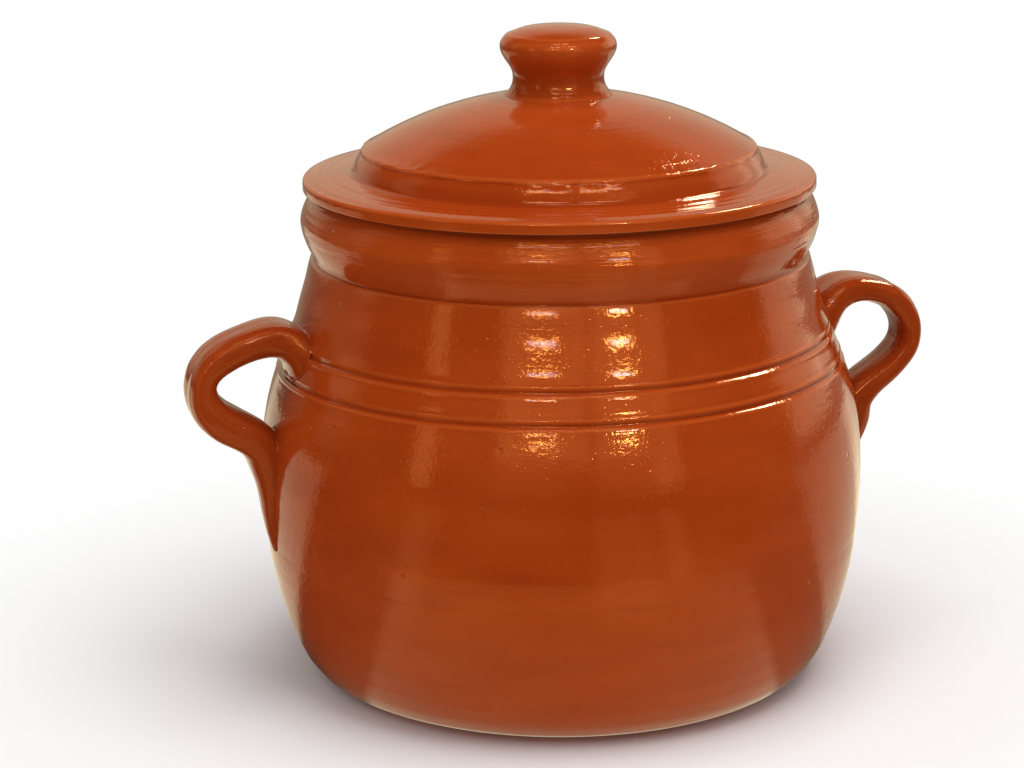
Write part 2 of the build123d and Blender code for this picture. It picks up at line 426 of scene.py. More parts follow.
def kept_as(geometry, label, value):
    """Stores a value on the mesh under a name."""
    inputs = {"Geometry": geometry, "Name": label, "Value": value}
    stored = add(geometry.id_data, "GeometryNodeStoreNamedAttribute", inputs, data_type="FLOAT",
                 domain="POINT")
    return stored.outputs[0]


def finish_piece(tree, geometry, given, result):
    """Closes seams and poles, smooths, gives the material and ends the tree in plain mesh."""
    merged = add(tree, "GeometryNodeMergeByDistance", {"Geometry": geometry, "Distance": given["Seam"]})
    smooth = add(tree, "GeometryNodeSetShadeSmooth", {"Geometry": merged.outputs[0]})
    plain = add(tree, "GeometryNodeRealizeInstances", {"Geometry": smooth.outputs[0]})
    inputs = {"Geometry": plain.outputs[0], "Material": given["Clay"]}
    tree.links.new(add(tree, "GeometryNodeSetMaterial", inputs).outputs[0], result["Piece"])
    return tree


# Clay on the wheel: how its slow waves and ragged edges are stretched along the outline, how near
# the axis it runs true, and where round the pot its lines lie highest
slow_waves_up = 12.0
ragged_along = 60.0
steady_radius = 0.02
lean_start = 0.55


def wheel_tree():
    """Tree that turns a drawn outline about Z, with the unevenness of clay on the wheel."""
    tree, given, result = new_tree("Turned on the wheel", "GeometryNodeTree", {
        "Outline": "Geometry", "Steps round": 240, "Out of round": 0.3 * mm, "Ring depth": 0.1 * mm,
        "Ring spacing": 7 * mm, "Raggedness": 0.3 * mm, "Line drift": 1.0 * mm, "Seam": 0.001 * mm,
        "Seed": 1, "Clay": "Material",
    }, {"Piece": "Geometry"})
    drawing, steps_round, seed = given["Outline"], given["Steps round"], given["Seed"]
    count = add(tree, "GeometryNodeAttributeDomainSize", {"Geometry": drawing}).outputs["Point Count"]
    columns = whole("ADD", steps_round, 1)
    grid = add(tree, "GeometryNodeMeshGrid", {"Vertices X": columns, "Vertices Y": count})
    index = add(tree, "GeometryNodeInputIndex").outputs[0]
    row = whole("MODULO", index, count)
    column = whole("DIVIDE_FLOOR", index, count)
    turn = times(calc("DIVIDE", column, steps_round), full_turn)
    place = sampled_place(drawing, row)
    out = sampled(drawing, row, "out", "FLOAT_VECTOR")
    way = sampled(drawing, row, "way", "FLOAT_VECTOR")
    weights = {label: sampled(drawing, row, label)
               for label in ("rings", "bare", "ragged", "drift", "across", "pool", "combed")}

    parts = add(tree, "ShaderNodeSeparateXYZ", {0: place})
    radius, height = parts.outputs[0], parts.outputs[2]
    east = calc("COSINE", turn)
    north = calc("SINE", turn)
    slow_place = combine(east, north, times(height, slow_waves_up))
    steadied = calc("DIVIDE", radius, plus(radius, steady_radius))
    slow = times(noise(slow_place, seed, scale=0.9, detail=1.0), steadied)
    swell = times(slow, given["Out of round"])

    phase = times(calc("DIVIDE", weights["across"], given["Ring spacing"]), full_turn)
    uneven = noise(combine(0.0, 0.0, weights["across"]), seed, scale=70.0, detail=1.0)
    phase = calc("MULTIPLY_ADD", uneven, 2.4, plus(phase, turn))
    strength = calc("MULTIPLY_ADD", noise(slow_place, seed, scale=2.0, detail=1.0), 0.5, 0.8)
    ring = times(calc("SINE", phase), times(strength, weights["rings"]))
    ring = times(ring, given["Ring depth"])

    ragged_place = combine(east, north, times(weights["across"], ragged_along))
    rough = times(noise(ragged_place, seed, scale=22.0, detail=2.0), weights["ragged"])
    rough = times(rough, given["Raggedness"])

    lean = calc("COSINE", plus(turn, lean_start))
    wander = calc("MULTIPLY_ADD", noise(slow_place, seed, scale=1.6, detail=1.0), 0.35, lean)
    wander = times(times(wander, weights["drift"]), given["Line drift"])

    moved = plus(plus(swell, ring), rough)
    flat_place = vector_calc("ADD", place, scaled(out, moved))
    flat_place = vector_calc("ADD", flat_place, scaled(way, wander))
    spun = add(tree, "ShaderNodeVectorRotate", {"Vector": flat_place, "Angle": turn}, rotation_type="Z_AXIS")

    clay = grid.outputs["Mesh"]
    for label in ("bare", "across", "pool", "combed"):
        clay = kept_as(clay, label, weights[label])
    clay = add(tree, "GeometryNodeSetPosition", {"Geometry": clay, "Position": spun.outputs[0]}).outputs[0]
    return finish_piece(tree, clay, given, result)


# How close the pull lines of a strap lie round it and along it, and how close its finger marks
pull_lines_round = 5.0
pull_lines_along = 30.0
finger_marks_along = 55.0


def strap_tree():
    """Tree that draws a strap out along a line, wide and thin, dished along its outer face."""
    tree, given, result = new_tree("Pulled strap", "GeometryNodeTree", {
        "Line": "Geometry", "Steps round": 64, "Squareness": 0.72, "Dish": 1.0 * mm,
        "Finger marks": 0.4 * mm, "Pull lines": 0.1 * mm, "Seam": 0.001 * mm, "Seed": 1,
        "Clay": "Material",
    }, {"Piece": "Geometry"})
    drawing, steps_round, seed = given["Line"], given["Steps round"], given["Seed"]
    count = add(tree, "GeometryNodeAttributeDomainSize", {"Geometry": drawing}).outputs["Point Count"]
    rows = whole("ADD", steps_round, 1)
    grid = add(tree, "GeometryNodeMeshGrid", {"Vertices X": count, "Vertices Y": rows})
    index = add(tree, "GeometryNodeInputIndex").outputs[0]
    station = whole("DIVIDE_FLOOR", index, rows)
    round_number = whole("MODULO", index, rows)
    turn = times(calc("DIVIDE", round_number, steps_round), full_turn)
    place = sampled_place(drawing, station)
    out = sampled(drawing, station, "out", "FLOAT_VECTOR")
    half_width, half_thickness, along, dished = (
        sampled(drawing, station, label)
        for label in ("half_width", "half_thickness", "along", "dished"))

    sideways = calc("COSINE", turn)
    upwards = calc("SINE", turn)
    squared = []
    for value in (sideways, upwards):
        size_only = calc("POWER", calc("ABSOLUTE", value), given["Squareness"])
        squared.append(times(size_only, calc("SIGN", value)))
    middle = calc("SUBTRACT", 1.0, times(squared[0], squared[0]))
    outer_face = calc("MAXIMUM", upwards, 0.0)
    dip = times(times(middle, outer_face), given["Dish"])
    dip = times(dip, dished)
    high = calc("SUBTRACT", times(half_thickness, squared[1]), dip)
    wide = times(half_width, squared[0])

    slow_place = combine(sideways, upwards, times(along, finger_marks_along))
    press = times(noise(slow_place, seed, scale=1.1, detail=2.0), given["Finger marks"])
    line_place = combine(times(sideways, pull_lines_round), times(upwards, pull_lines_round),
                         times(along, pull_lines_along))
    streak = times(noise(line_place, seed, scale=1.6, detail=2.0), given["Pull lines"])
    closed = calc("MINIMUM", calc("DIVIDE", half_width, strap_half_width * 0.5), 1.0)
    swell = times(plus(press, streak), closed)
    high = plus(high, times(swell, upwards))
    wide = plus(wide, times(swell, sideways))
    spot = vector_calc("ADD", place, scaled(out, high))
    spot = vector_calc("ADD", spot, combine(0.0, wide, 0.0))

    clay = grid.outputs["Mesh"]
    round_about = times(plus(sideways, upwards), half_width)
    kept = {"across": round_about, "bare": 0.0, "combed": 1.0, "pool": times(middle, 0.25)}
    for label, value in kept.items():
        clay = kept_as(clay, label, value)
    clay = add(tree, "GeometryNodeSetPosition", {"Geometry": clay, "Position": spot}).outputs[0]
    return finish_piece(tree, clay, given, result)


def seam_tree():
    """Tree that lays an uneven bead of slip where a piece meets the pot's wall."""
    tree, given, result = new_tree("Slip seam", "GeometryNodeTree", {
        "Strap": "Geometry", "Wall": "Object", "Bead radius": 0.8 * mm, "Bead steps": 0.9 * mm,
        "Unevenness": 0.5 * mm, "Seam": 0.01 * mm, "Seed": 1, "Clay": "Material",
    }, {"Piece": "Geometry"})
    wall = add(tree, "GeometryNodeObjectInfo", {"Object": given["Wall"]}, transform_space="ORIGINAL")
    cut = add(tree, "GeometryNodeMeshBoolean", operation="DIFFERENCE", solver="EXACT")
    tree.links.new(given["Strap"], cut.inputs["Mesh 1"])
    tree.links.new(wall.outputs["Geometry"], cut.inputs["Mesh 2"])
    edges = {"Mesh": cut.outputs["Mesh"], "Selection": cut.outputs["Intersecting Edges"]}
    line = add(tree, "GeometryNodeMeshToCurve", edges).outputs[0]
    resample = {"Curve": line, "Length": given["Bead steps"]}
    line = add(tree, "GeometryNodeResampleCurve", resample, mode="LENGTH").outputs[0]
    place = add(tree, "GeometryNodeInputPosition").outputs[0]
    rough = noise(place, given["Seed"], scale=330.0, detail=2.0)
    slow = noise(place, given["Seed"], scale=90.0, detail=1.0)
    thickness = calc("MULTIPLY_ADD", rough, 0.65, calc("MULTIPLY_ADD", slow, 0.5, 0.75))
    jitter = add(tree, "ShaderNodeTexNoise", {"Vector": place, "W": given["Seed"], "Scale": 260.0},
                 noise_dimensions="4D").outputs["Color"]
    jitter = vector_calc("SUBTRACT", jitter, (0.5, 0.5, 0.5))
    shift = scaled(jitter, given["Unevenness"])
    line = add(tree, "GeometryNodeSetPosition", {"Geometry": line, "Offset": shift}).outputs[0]
    ring = add(tree, "GeometryNodeCurvePrimitiveCircle", {"Resolution": 8, "Radius": given["Bead radius"]})
    sweep = {"Curve": line, "Profile Curve": ring.outputs["Curve"], "Scale": thickness, "Fill Caps": True}
    bead = add(tree, "GeometryNodeCurveToMesh", sweep).outputs[0]
    for label, value in {"across": 0.0, "bare": 0.0, "combed": 1.0, "pool": 0.25}.items():
        bead = kept_as(bead, label, value)
    return finish_piece(tree, bead, given, result)


def made_by(drawing, tree, name, **sizes):
    """The plain mesh that a tree makes from a drawing. Sizes go in by their socket names."""
    modifier = drawing.modifiers.new(name, "NODES")
    modifier.node_group = tree
    sockets = {item.name: item.identifier for item in tree.interface.items_tree if item.in_out == "INPUT"}
    for label, value in sizes.items():
        modifier[sockets[label.replace("_", " ")]] = value
    graph = bpy.context.evaluated_depsgraph_get()
    mesh = bpy.data.meshes.new_from_object(drawing.evaluated_get(graph), preserve_all_data_layers=True,
                                           depsgraph=graph)
    drawing.modifiers.clear()
    drawing.data = mesh
    drawing.name = name
    mesh.name = name
    return drawing


def turned_outwards(piece):
    """Merges what is left double and points every face outwards."""
    work = bmesh.new()
    work.from_mesh(piece.data)
    bmesh.ops.remove_doubles(work, verts=work.verts, dist=1e-6)
    bmesh.ops.recalc_face_normals(work, faces=work.faces)
    work.to_mesh(piece.data)
    work.free()
    return piece


def of_belly(shares):
    """Pot outline points from shares of the belly's radius and the rim's height."""
    return [(radius * belly_radius, height * rim_height) for radius, height in shares]


def maker_marks(line):
    """Rises and dips of the tool lines, their lips, the shoulder's swell, the faint ridges and
    the scratch."""
    heights = line[:, 1]
    rises = np.zeros(len(line))
    for share in tool_line_shares:
        middle = share * rim_height
        rises -= tool_line_depth * bell(heights, middle, tool_line_half_width)
        for side in (-1, 1):
            rises += tool_lip_rise * bell(heights, middle + side * tool_lip_gap, tool_lip_half_width)
    for share in faint_ridge_shares:
        rises += faint_ridge_rise * bell(heights, share * rim_height, faint_ridge_half_width)
    swell_height = shoulder_swell_share * rim_height
    rises += shoulder_swell_rise * bell(heights, swell_height, shoulder_swell_half_width)
    rises -= scratch_depth * bell(heights, scratch_share * rim_height, scratch_half_width)
    return rises


def pot_combing(line):
    """Throwing marks are strong on the collar and faint elsewhere, a little plainer between the tool
    lines and low on the wall."""
    heights = line[:, 1] / rim_height
    collar = ramp(heights, 0.915, 0.930)
    tooled = bell(heights, sum(tool_line_shares) / 2, 0.045)
    low = 1 - ramp(heights, 0.10, 0.35)
    return 0.4 + 3.8 * collar + 0.2 * tooled + 0.3 * low


def pot_outline():
    """Foot, wall, collar, seat, mouth and inside, drawn as one line from foot to floor."""
    wall = spline_through(of_belly(foot_corner_shares + wall_shares))
    wall = raised(wall, maker_marks(wall))
    collar = spline_through(of_belly(collar_shares))
    foot = straight((0, 0), wall[0])
    seat_inner = seat_inner_share * belly_radius
    mouth_radius = mouth_share * belly_radius
    seat = straight(collar[-1], (seat_inner, rim_height))
    edge = arc((seat_inner, rim_height - mouth_rounding), mouth_rounding, 90, 180)
    mouth_bottom = (mouth_radius, mouth_bottom_share * rim_height)
    mouth = straight(edge[-1], mouth_bottom)
    inner = [(radius - wall_thickness, height) for radius, height in of_belly(wall_shares[1:])]
    floor_radius = floor_share * belly_radius
    corner = [(floor_radius, floor_thickness), (floor_radius + 2 * wall_thickness, 1.25 * floor_thickness)]
    neck = [mouth_bottom, (mouth_radius, mouth_bottom[1] - wall_thickness)]
    inside = spline_through(neck + inner[::-1] + corner[::-1])
    floor = straight(inside[-1], (0, floor_thickness))
    middle = sum(tool_line_shares) / 2 * rim_height
    drift = bell(wall[:, 1], middle, 15 * mm)
    low_rings = 0.35 + 0.65 * (1 - ramp(wall[:, 1], 0.1 * rim_height, 0.5 * rim_height))
    calm = ramp(floor[:, 0], 0, 8 * mm)
    return joined(
        dressed(foot, rings=0.3 * ramp(foot[:, 0], 0, 8 * mm), bare=1.0, ragged=0.1),
        dressed(wall, rings=low_rings, bare=1 - ramp(wall[:, 1], 0.2 * mm, 1.2 * mm), drift=drift,
                ragged=0.5 * bell(wall[:, 1], wall[-1, 1], 0.8 * mm)),
        dressed(collar, rings=0.35 * ramp(collar[:, 1], collar[0, 1], collar[0, 1] + 4 * mm)
                * (1 - ramp(collar[:, 1], 0.97 * rim_height, rim_height)),
                bare=ramp(collar[:, 1], 0.994 * rim_height, rim_height)),
        dressed(seat, bare=1.0),
        dressed(edge, bare=1.0),
        dressed(mouth, bare=1 - ramp(rim_height - mouth[:, 1], 1.5 * mm, 3 * mm)),
        dressed(inside, rings=ramp(mouth_bottom[1] - inside[:, 1], 0, 12 * mm)),
        dressed(floor, rings=calm),
    )


def dome_centre(edge_radius, edge_height, top_radius, top_height):
    """Height on the axis of the centre of a sphere through two circles."""
    rise = edge_radius**2 + edge_height**2 - top_radius**2 - top_height**2
    return rise / (2 * (edge_height - top_height))


def lid_outline():
    """Underside, brim, upright wall, ridge and dome, drawn as one line from underside to crown."""
    brim_radius = brim_high.x
    seat = brim_low.z
    tall = brim_high.z - seat
    knob_foot = knob_shares[0][0] * knob_high.x
    wall_foot = (lid_wall_foot_share * brim_radius, seat + brim_rise_share * tall)
    wall_top = (dome_edge_share * brim_radius, seat + lid_wall_top_share * tall)
    centre = dome_centre(*wall_top, knob_foot, brim_high.z)
    dome_radius = math.hypot(wall_top[0], wall_top[1] - centre)
    hollow_radius = dome_radius - cover_thickness
    hollow_edge = hollow_edge_share * brim_radius
    edge_angle = math.degrees(math.acos(hollow_edge / hollow_radius))
    under_dome = arc((0, centre), hollow_radius, 90, edge_angle)
    hollow_wall = straight(under_dome[-1], (hollow_share * brim_radius, seat))
    thickness = brim_thickness_share * tall
    low_turn = (brim_radius - brim_low_rounding, seat + brim_low_rounding)
    top_turn = (brim_radius - brim_top_rounding, seat + thickness - brim_top_rounding)
    underside = straight(hollow_wall[-1], (low_turn[0], seat))
    edge = np.vstack((arc(low_turn, brim_low_rounding, -90, 0),
                      arc(top_turn, brim_top_rounding, 0, 86)))
    top = straight(edge[-1], (wall_foot[0] + lid_wall_rounding, wall_foot[1]))
    rises = np.zeros(len(top))
    for share in brim_ring_shares:
        rises += brim_ring_rise * bell(top[:, 0], share * brim_radius, brim_ring_half_width)
    top = raised(top, rises)
    middle = ((wall_foot[0] + wall_top[0]) / 2 + lid_wall_swell, (wall_foot[1] + wall_top[1]) / 2)
    cove = (wall_foot[0] + 0.2 * lid_wall_rounding, wall_foot[1] + 0.22 * lid_wall_rounding)
    lip = (wall_top[0] + 0.1 * ridge_width, wall_top[1] - ridge_width)
    upright = spline_through([top[-1], cove, middle, lip])
    crown = (wall_top[0] - 0.35 * ridge_width, wall_top[1] + ridge_rise)
    inner_radius = wall_top[0] - 2.2 * ridge_width
    inner_lip = (inner_radius, centre + math.sqrt(dome_radius**2 - inner_radius**2))
    ridge = spline_through([upright[-1], crown, inner_lip])
    start_angle = math.degrees(math.atan2(inner_lip[1] - centre, inner_lip[0]))
    end_angle = math.degrees(math.acos(knob_foot / dome_radius))
    dome = arc((0, centre), dome_radius, start_angle, end_angle)
    cap = straight(dome[-1], (0, brim_high.z))
    return joined(
        dressed(under_dome, rings=0.8 * ramp(under_dome[:, 0], 0, 8 * mm)),
        dressed(hollow_wall),
        dressed(underside, bare=1.0),
        dressed(edge, bare=1 - ramp(edge[:, 1], seat, seat + 0.2 * brim_low_rounding), ragged=0.12),
        dressed(top, rings=0.2 * ramp(top[:, 0], top[-1, 0], top[-1, 0] + 3 * mm)),
        dressed(upright, rings=0.15, ragged=ramp(upright[:, 1], lip[1] - 0.8 * mm, lip[1])),
        dressed(ridge, ragged=1.0),
        dressed(dome, rings=0.18, ragged=ramp(dome[:, 0], inner_lip[0] - 2.5 * mm, inner_lip[0])),
        dressed(cap),
    )


def knob_outline():
    """Flat seat, neck, bulging edge, crease and dented crown."""
    radius, tall = knob_high.x, knob_high.z - knob_low.z
    points = [(out * radius, knob_low.z + up * tall) for out, up in knob_shares]
    side = spline_through(points)
    on_crown = ramp(side[:, 1], knob_low.z + 0.8 * tall, knob_low.z + 0.86 * tall)
    crease = bell(side[:, 0], knob_crease_share * radius, knob_crease_half_width) * on_crown
    side = raised(side, knob_crease_rise * crease)
    side[-1, 0] = 0
    base = straight((0, knob_low.z), side[0])
    foot = 1 - ramp(side[:, 1], knob_low.z + 1.0 * mm, knob_low.z + 4.5 * mm)
    return joined(dressed(base), dressed(side, rings=0.1 * ramp(side[:, 0], 0, 5 * mm), ragged=foot))


def ring_outline():
    """Locating ring: two walls with rounded lower edges, flat where it is luted on."""
    outer = ring_high.x
    inner = outer - ring_thickness
    low, high = ring_low.z, ring_high.z
    turn_height = low + ring_rounding
    inner_wall = straight((inner, high), (inner, turn_height))
    inner_turn = arc((inner + ring_rounding, turn_height), ring_rounding, 180, 270)
    bottom = straight(inner_turn[-1], (outer - ring_rounding, low))
    outer_turn = arc((outer - ring_rounding, turn_height), ring_rounding, 270, 360)
    outer_wall = straight(outer_turn[-1], (outer, high))
    top = straight(outer_wall[-1], (inner, high))
    fade = 2 * mm
    marked = (
        (inner_wall, 0.5 * ramp(high - inner_wall[:, 1], 0, fade)), (inner_turn, 0.5), (bottom, 0.5),
        (outer_turn, 0.5), (outer_wall, 0.3 * ramp(high - outer_wall[:, 1], 0, fade)), (top, 0.0),
    )
    return joined(*(dressed(stretch, bare=1.0, rings=rings) for stretch, rings in marked))


def wall_radius(heights):
    """Outer radius of the pot's wall at heights."""
    wall = spline_through(of_belly(wall_shares))
    return np.interp(heights, wall[:, 1], wall[:, 0])


def strap_drawing(name, shares, side, low, high):
    """Middle line of a strap on the +X side (side 1) or the -X side (side -1), with its sections."""
    reach = max(abs(low.x), abs(high.x)) - strap_half_thickness
    wall = strap_wall_share * belly_radius
    top = high.z - strap_top_gap
    foot = low.z + strap_foot_gap
    stations = []
    for out, up, wide, thick in shares:
        place = (wall + out * (reach - wall), foot + up * (top - foot))
        stations.append(place + (wide * strap_half_width, thick * strap_half_thickness))
    line = spline_through(stations, 0.9 * mm)
    ends = line[[0, -1]].copy()
    ends[:, 2:] = 0
    line = np.vstack((ends[:1], line, ends[1:]))
    ways = np.gradient(line[:, :2], axis=0)
    ways[0], ways[-1] = ways[1], ways[-2]
    ways /= np.linalg.norm(ways, axis=1)[:, None]
    steps = np.linalg.norm(np.diff(line[:, :2], axis=0), axis=1)
    along = np.concatenate(([0], np.cumsum(steps)))
    dished = ramp(along, 6 * mm, 16 * mm) * (1 - ramp(along, along[-1] - 45 * mm, along[-1] - 25 * mm))
    numbers = {"half_width": line[:, 2], "half_thickness": line[:, 3], "along": along, "dished": dished}
    vectors = {"out": in_plane(-side * ways[:, 1], ways[:, 0])}
    return line_object(name, in_plane(side * line[:, 0], line[:, 1]), numbers, vectors)


def pressed_to_wall(piece, depth):
    """Moves what would come through the inside of the wall back to a depth within it."""
    for vertex in piece.data.vertices:
        spot = vertex.co
        distance = math.hypot(spot.x, spot.y)
        least = float(wall_radius(spot.z)) - depth
        if distance < least:
            spot.x *= least / distance
            spot.y *= least / distance
    return piece


def glaze_groups():
    """The shader groups that the clay and glaze materials share."""
    marks, given, result = new_tree("Throwing marks", "ShaderNodeTree", {
        "Place": "Vector", "Across": 0.0, "Fineness": 450.0, "Length": 26.0,
    }, {"Height": "Float", "Tone": "Float"})
    parts = add(marks, "ShaderNodeSeparateXYZ", {0: given["Place"]})
    x = times(parts.outputs[0], given["Length"])
    y = times(parts.outputs[1], given["Length"])
    fine = combine(x, y, times(given["Across"], given["Fineness"]))
    line = add(marks, "ShaderNodeTexNoise", {"Vector": fine, "Scale": 1.0, "Detail": 3.0, "Roughness": 0.55})
    broad_across = times(given["Across"], times(given["Fineness"], 0.22))
    broad = combine(x, y, broad_across)
    band = add(marks, "ShaderNodeTexNoise", {"Vector": broad, "Scale": 1.0, "Detail": 2.0})
    marks.links.new(line.outputs[0], result["Height"])
    marks.links.new(band.outputs[0], result["Tone"])

    skin, given, result = new_tree("Glaze skin", "ShaderNodeTree", {
        "Place": "Vector", "Peel scale": 950.0, "Ripple scale": 300.0, "Ripple share": 1.4,
        "Grit scale": 760.0, "Grit share": 0.45, "Grit height": 0.7, "Pit scale": 150.0, "Pit share": 0.12,
    }, {"Height": "Float", "Pits": "Float", "Grit": "Float"})
    peel = add(skin, "ShaderNodeTexNoise", {
        "Vector": given["Place"], "Scale": given["Peel scale"], "Detail": 2.0})
    ripple = add(skin, "ShaderNodeTexNoise", {
        "Vector": given["Place"], "Scale": given["Ripple scale"], "Detail": 1.0})
    uneven = calc("MULTIPLY_ADD", ripple.outputs[0], given["Ripple share"], peel.outputs[0])
    spots = {}
    for size, share, reach in (("Pit scale", "Pit share", 0.16), ("Grit scale", "Grit share", 0.34)):
        cells = add(skin, "ShaderNodeTexVoronoi", {"Vector": given["Place"], "Scale": given[size]})
        chosen = add(skin, "ShaderNodeSeparateColor", {0: cells.outputs["Color"]}).outputs[0]
        chosen = calc("LESS_THAN", chosen, given[share])
        near = remapped(cells.outputs["Distance"], 0.0, reach, 1.0, 0.0, "SMOOTHSTEP")
        spots[size] = times(chosen, near)
    uneven = calc("MULTIPLY_ADD", spots["Grit scale"], given["Grit height"], uneven)
    for label, value in (("Height", uneven), ("Pits", spots["Pit scale"]), ("Grit", spots["Grit scale"])):
        skin.links.new(value, result[label])
    return marks, skin


def blended(factor, first, second):
    """Two colours mixed."""
    inputs = {0: factor, 6: first, 7: second}
    return add(factor.id_data, "ShaderNodeMix", inputs, data_type="RGBA").outputs[2]


def between(factor, first, second):
    """Two values mixed."""
    inputs = {0: factor, 2: first, 3: second}
    return add(factor.id_data, "ShaderNodeMix", inputs, data_type="FLOAT").outputs[0]


def attribute(tree, label):
    """A named value on the mesh."""
    return add(tree, "ShaderNodeAttribute", attribute_name=label).outputs["Fac"]


# Colours of the glaze over the clay, of the bare clay, and of the shine under and on the glaze
glaze_colour = (0.36, 0.0440, 0.0050, 1)
strap_colour = (0.29, 0.0350, 0.0046, 1)
glaze_deep = (0.25, 0.0260, 0.0030, 1)
glaze_pale = (0.46, 0.0760, 0.0120, 1)
under_glaze_shine = (1.0, 0.32, 0.05, 1)
top_shine = 0.11
bare_clay_colour = (0.44, 0.165, 0.062, 1)
bare_clay_dark = (0.30, 0.100, 0.036, 1)


glaze_roughness = (0.055, 0.085)
bare_roughness = 0.85


def clay_material(name, marks, skin, fineness, mark_depth, peel_depth, colour=None):
    """Clear glaze over turned clay, bare where the pot was wiped before firing, or bare all over
    when it has no glaze colour."""
    material = bpy.data.materials.new(name)
    material.use_nodes = True
    tree = material.node_tree
    shader = tree.nodes["Principled BSDF"]
    place = add(tree, "ShaderNodeTexCoord").outputs["Object"]
    inputs = {"Place": place, "Across": attribute(tree, "across"), "Fineness": fineness}
    lines = add(tree, "ShaderNodeGroup", inputs, node_tree=marks)
    surface = add(tree, "ShaderNodeGroup", {"Place": place}, node_tree=skin)

    bands = remapped(lines.outputs["Tone"], 0.35, 0.68)
    earth = blended(bands, bare_clay_colour, bare_clay_dark)
    if colour:
        pool = attribute(tree, "pool")
        bare = attribute(tree, "bare")
        thick = calc("MAXIMUM", pool, 0.0)
        thin = calc("MAXIMUM", times(pool, -1.0), 0.0)
        blotch = add(tree, "ShaderNodeTexNoise", {"Vector": place, "Scale": 26.0, "Detail": 4.0}).outputs[0]
        cloud = remapped(blotch, 0.38, 0.66)
        glaze = colour
        for weight, share, tone in (
            (cloud, 0.26, glaze_pale), (bands, 0.32, glaze_deep), (surface.outputs["Grit"], 0.45, glaze_pale),
            (thick, 0.8, glaze_deep), (thin, 0.7, glaze_pale), (surface.outputs["Pits"], 0.6, glaze_deep),
        ):
            glaze = blended(times(weight, share), glaze, tone)
        tree.links.new(blended(bare, glaze, earth), shader.inputs["Base Color"])
        gloss = between(cloud, *glaze_roughness)
        tree.links.new(between(bare, gloss, bare_roughness), shader.inputs["Roughness"])
    else:
        tree.links.new(earth, shader.inputs["Base Color"])
        shader.inputs["Roughness"].default_value = bare_roughness
    shine = {"IOR": 1.5, "Specular Tint": under_glaze_shine, "Coat Weight": top_shine, "Coat Roughness": 0.07}
    for label, value in shine.items():
        shader.inputs[label].default_value = value
    flowing = times(lines.outputs["Height"], mark_depth / mm)
    flowing = times(flowing, attribute(tree, "combed"))
    peel = times(surface.outputs["Height"], peel_depth / mm)
    dents = times(surface.outputs["Pits"], -0.25)
    height = plus(plus(flowing, peel), dents)
    bump = add(tree, "ShaderNodeBump", {"Height": height, "Distance": mm, "Strength": 1.0})
    tree.links.new(bump.outputs[0], shader.inputs["Normal"])
    return material


# Floor: white past the fade for the camera. In the glaze it is a table with a near and a far side
floor_colour = (0.85, 0.845, 0.835, 1)
floor_reach = 6.0
floor_height = -0.2 * mm
fade_start = 0.11
fade_end = 0.28
table_centre = (0.06, 0.09, 0.0)
table_reach = 0.33
table_edge = 0.01
table_front = 0.35
table_back = 0.36
room_tint = (1.0, 0.90, 0.64, 1)


def floor_material(window):
    """Pale paper that keeps the pot's shadow near it and runs out into white. In the glaze it is
    a table lit from behind on the right, with the dark room past its near edge."""
    material = bpy.data.materials.new("pale paper")
    material.use_nodes = True
    tree = material.node_tree
    tree.nodes.clear()
    output = add(tree, "ShaderNodeOutputMaterial")
    place = add(tree, "ShaderNodeTexCoord").outputs["Object"]
    distance = measured("LENGTH", place)
    away = remapped(distance, fade_start, fade_end, course="SMOOTHSTEP")
    path = add(tree, "ShaderNodeLightPath").outputs
    paper = add(tree, "ShaderNodeBsdfDiffuse", {"Color": floor_colour})
    white = add(tree, "ShaderNodeEmission", {"Color": (1, 1, 1, 1), "Strength": 1.0})
    shown = times(away, path["Is Camera Ray"])
    plain = add(tree, "ShaderNodeMixShader", {0: shown, 1: paper.outputs[0], 2: white.outputs[0]})
    course = vector_calc("NORMALIZE", place)
    facing = measured("DOT_PRODUCT", course, toward(50, 0))
    front = measured("DOT_PRODUCT", course, toward(-106, 0))
    near_light = remapped(front, 0.15, 1.0, 0.0, table_front, "SMOOTHSTEP")
    table = plus(near_light, remapped(facing, -0.45, 1.0, 0.05, table_back))
    beyond = remapped(facing, 0.0, 0.7, 0.0, 0.30)
    from_centre = measured("DISTANCE", place, table_centre)
    off_table = remapped(from_centre, table_reach - table_edge, table_reach + table_edge)
    strength = between(off_table, table, beyond)
    parts = add(tree, "ShaderNodeSeparateXYZ", {0: place})
    azimuth = calc("DEGREES", calc("ARCTAN2", parts.outputs[1], parts.outputs[0]))
    strength = summed(window, azimuth, distance, on_the_table, 3.0, strength)
    mirrored = add(tree, "ShaderNodeEmission", {"Color": room_tint, "Strength": strength})
    glossy = calc("MAXIMUM", path["Is Glossy Ray"], path["Is Transmission Ray"])
    mixed = add(tree, "ShaderNodeMixShader", {0: glossy, 1: plain.outputs[0], 2: mirrored.outputs[0]})
    tree.links.new(mixed.outputs[0], output.inputs[0])
    return material


def make_floor(window):
    """A wide flat floor just under the pot's foot."""
    mesh = bpy.data.meshes.new("floor")
    signs = ((-1, -1), (1, -1), (1, 1), (-1, 1))
    corners = [(x * floor_reach, y * floor_reach, floor_height) for x, y in signs]
    mesh.from_pydata(corners, [], [(0, 1, 2, 3)])
    mesh.materials.append(floor_material(window))
    in_scene("floor", mesh)


def toward(azimuth, elevation):
    """Unit vector from the pot towards an azimuth and elevation in degrees."""
    around, up = math.radians(azimuth), math.radians(elevation)
    return Vector((math.cos(around) * math.cos(up), math.sin(around) * math.cos(up), math.sin(up)))


pot_middle = Vector((0, 0, 0.11))


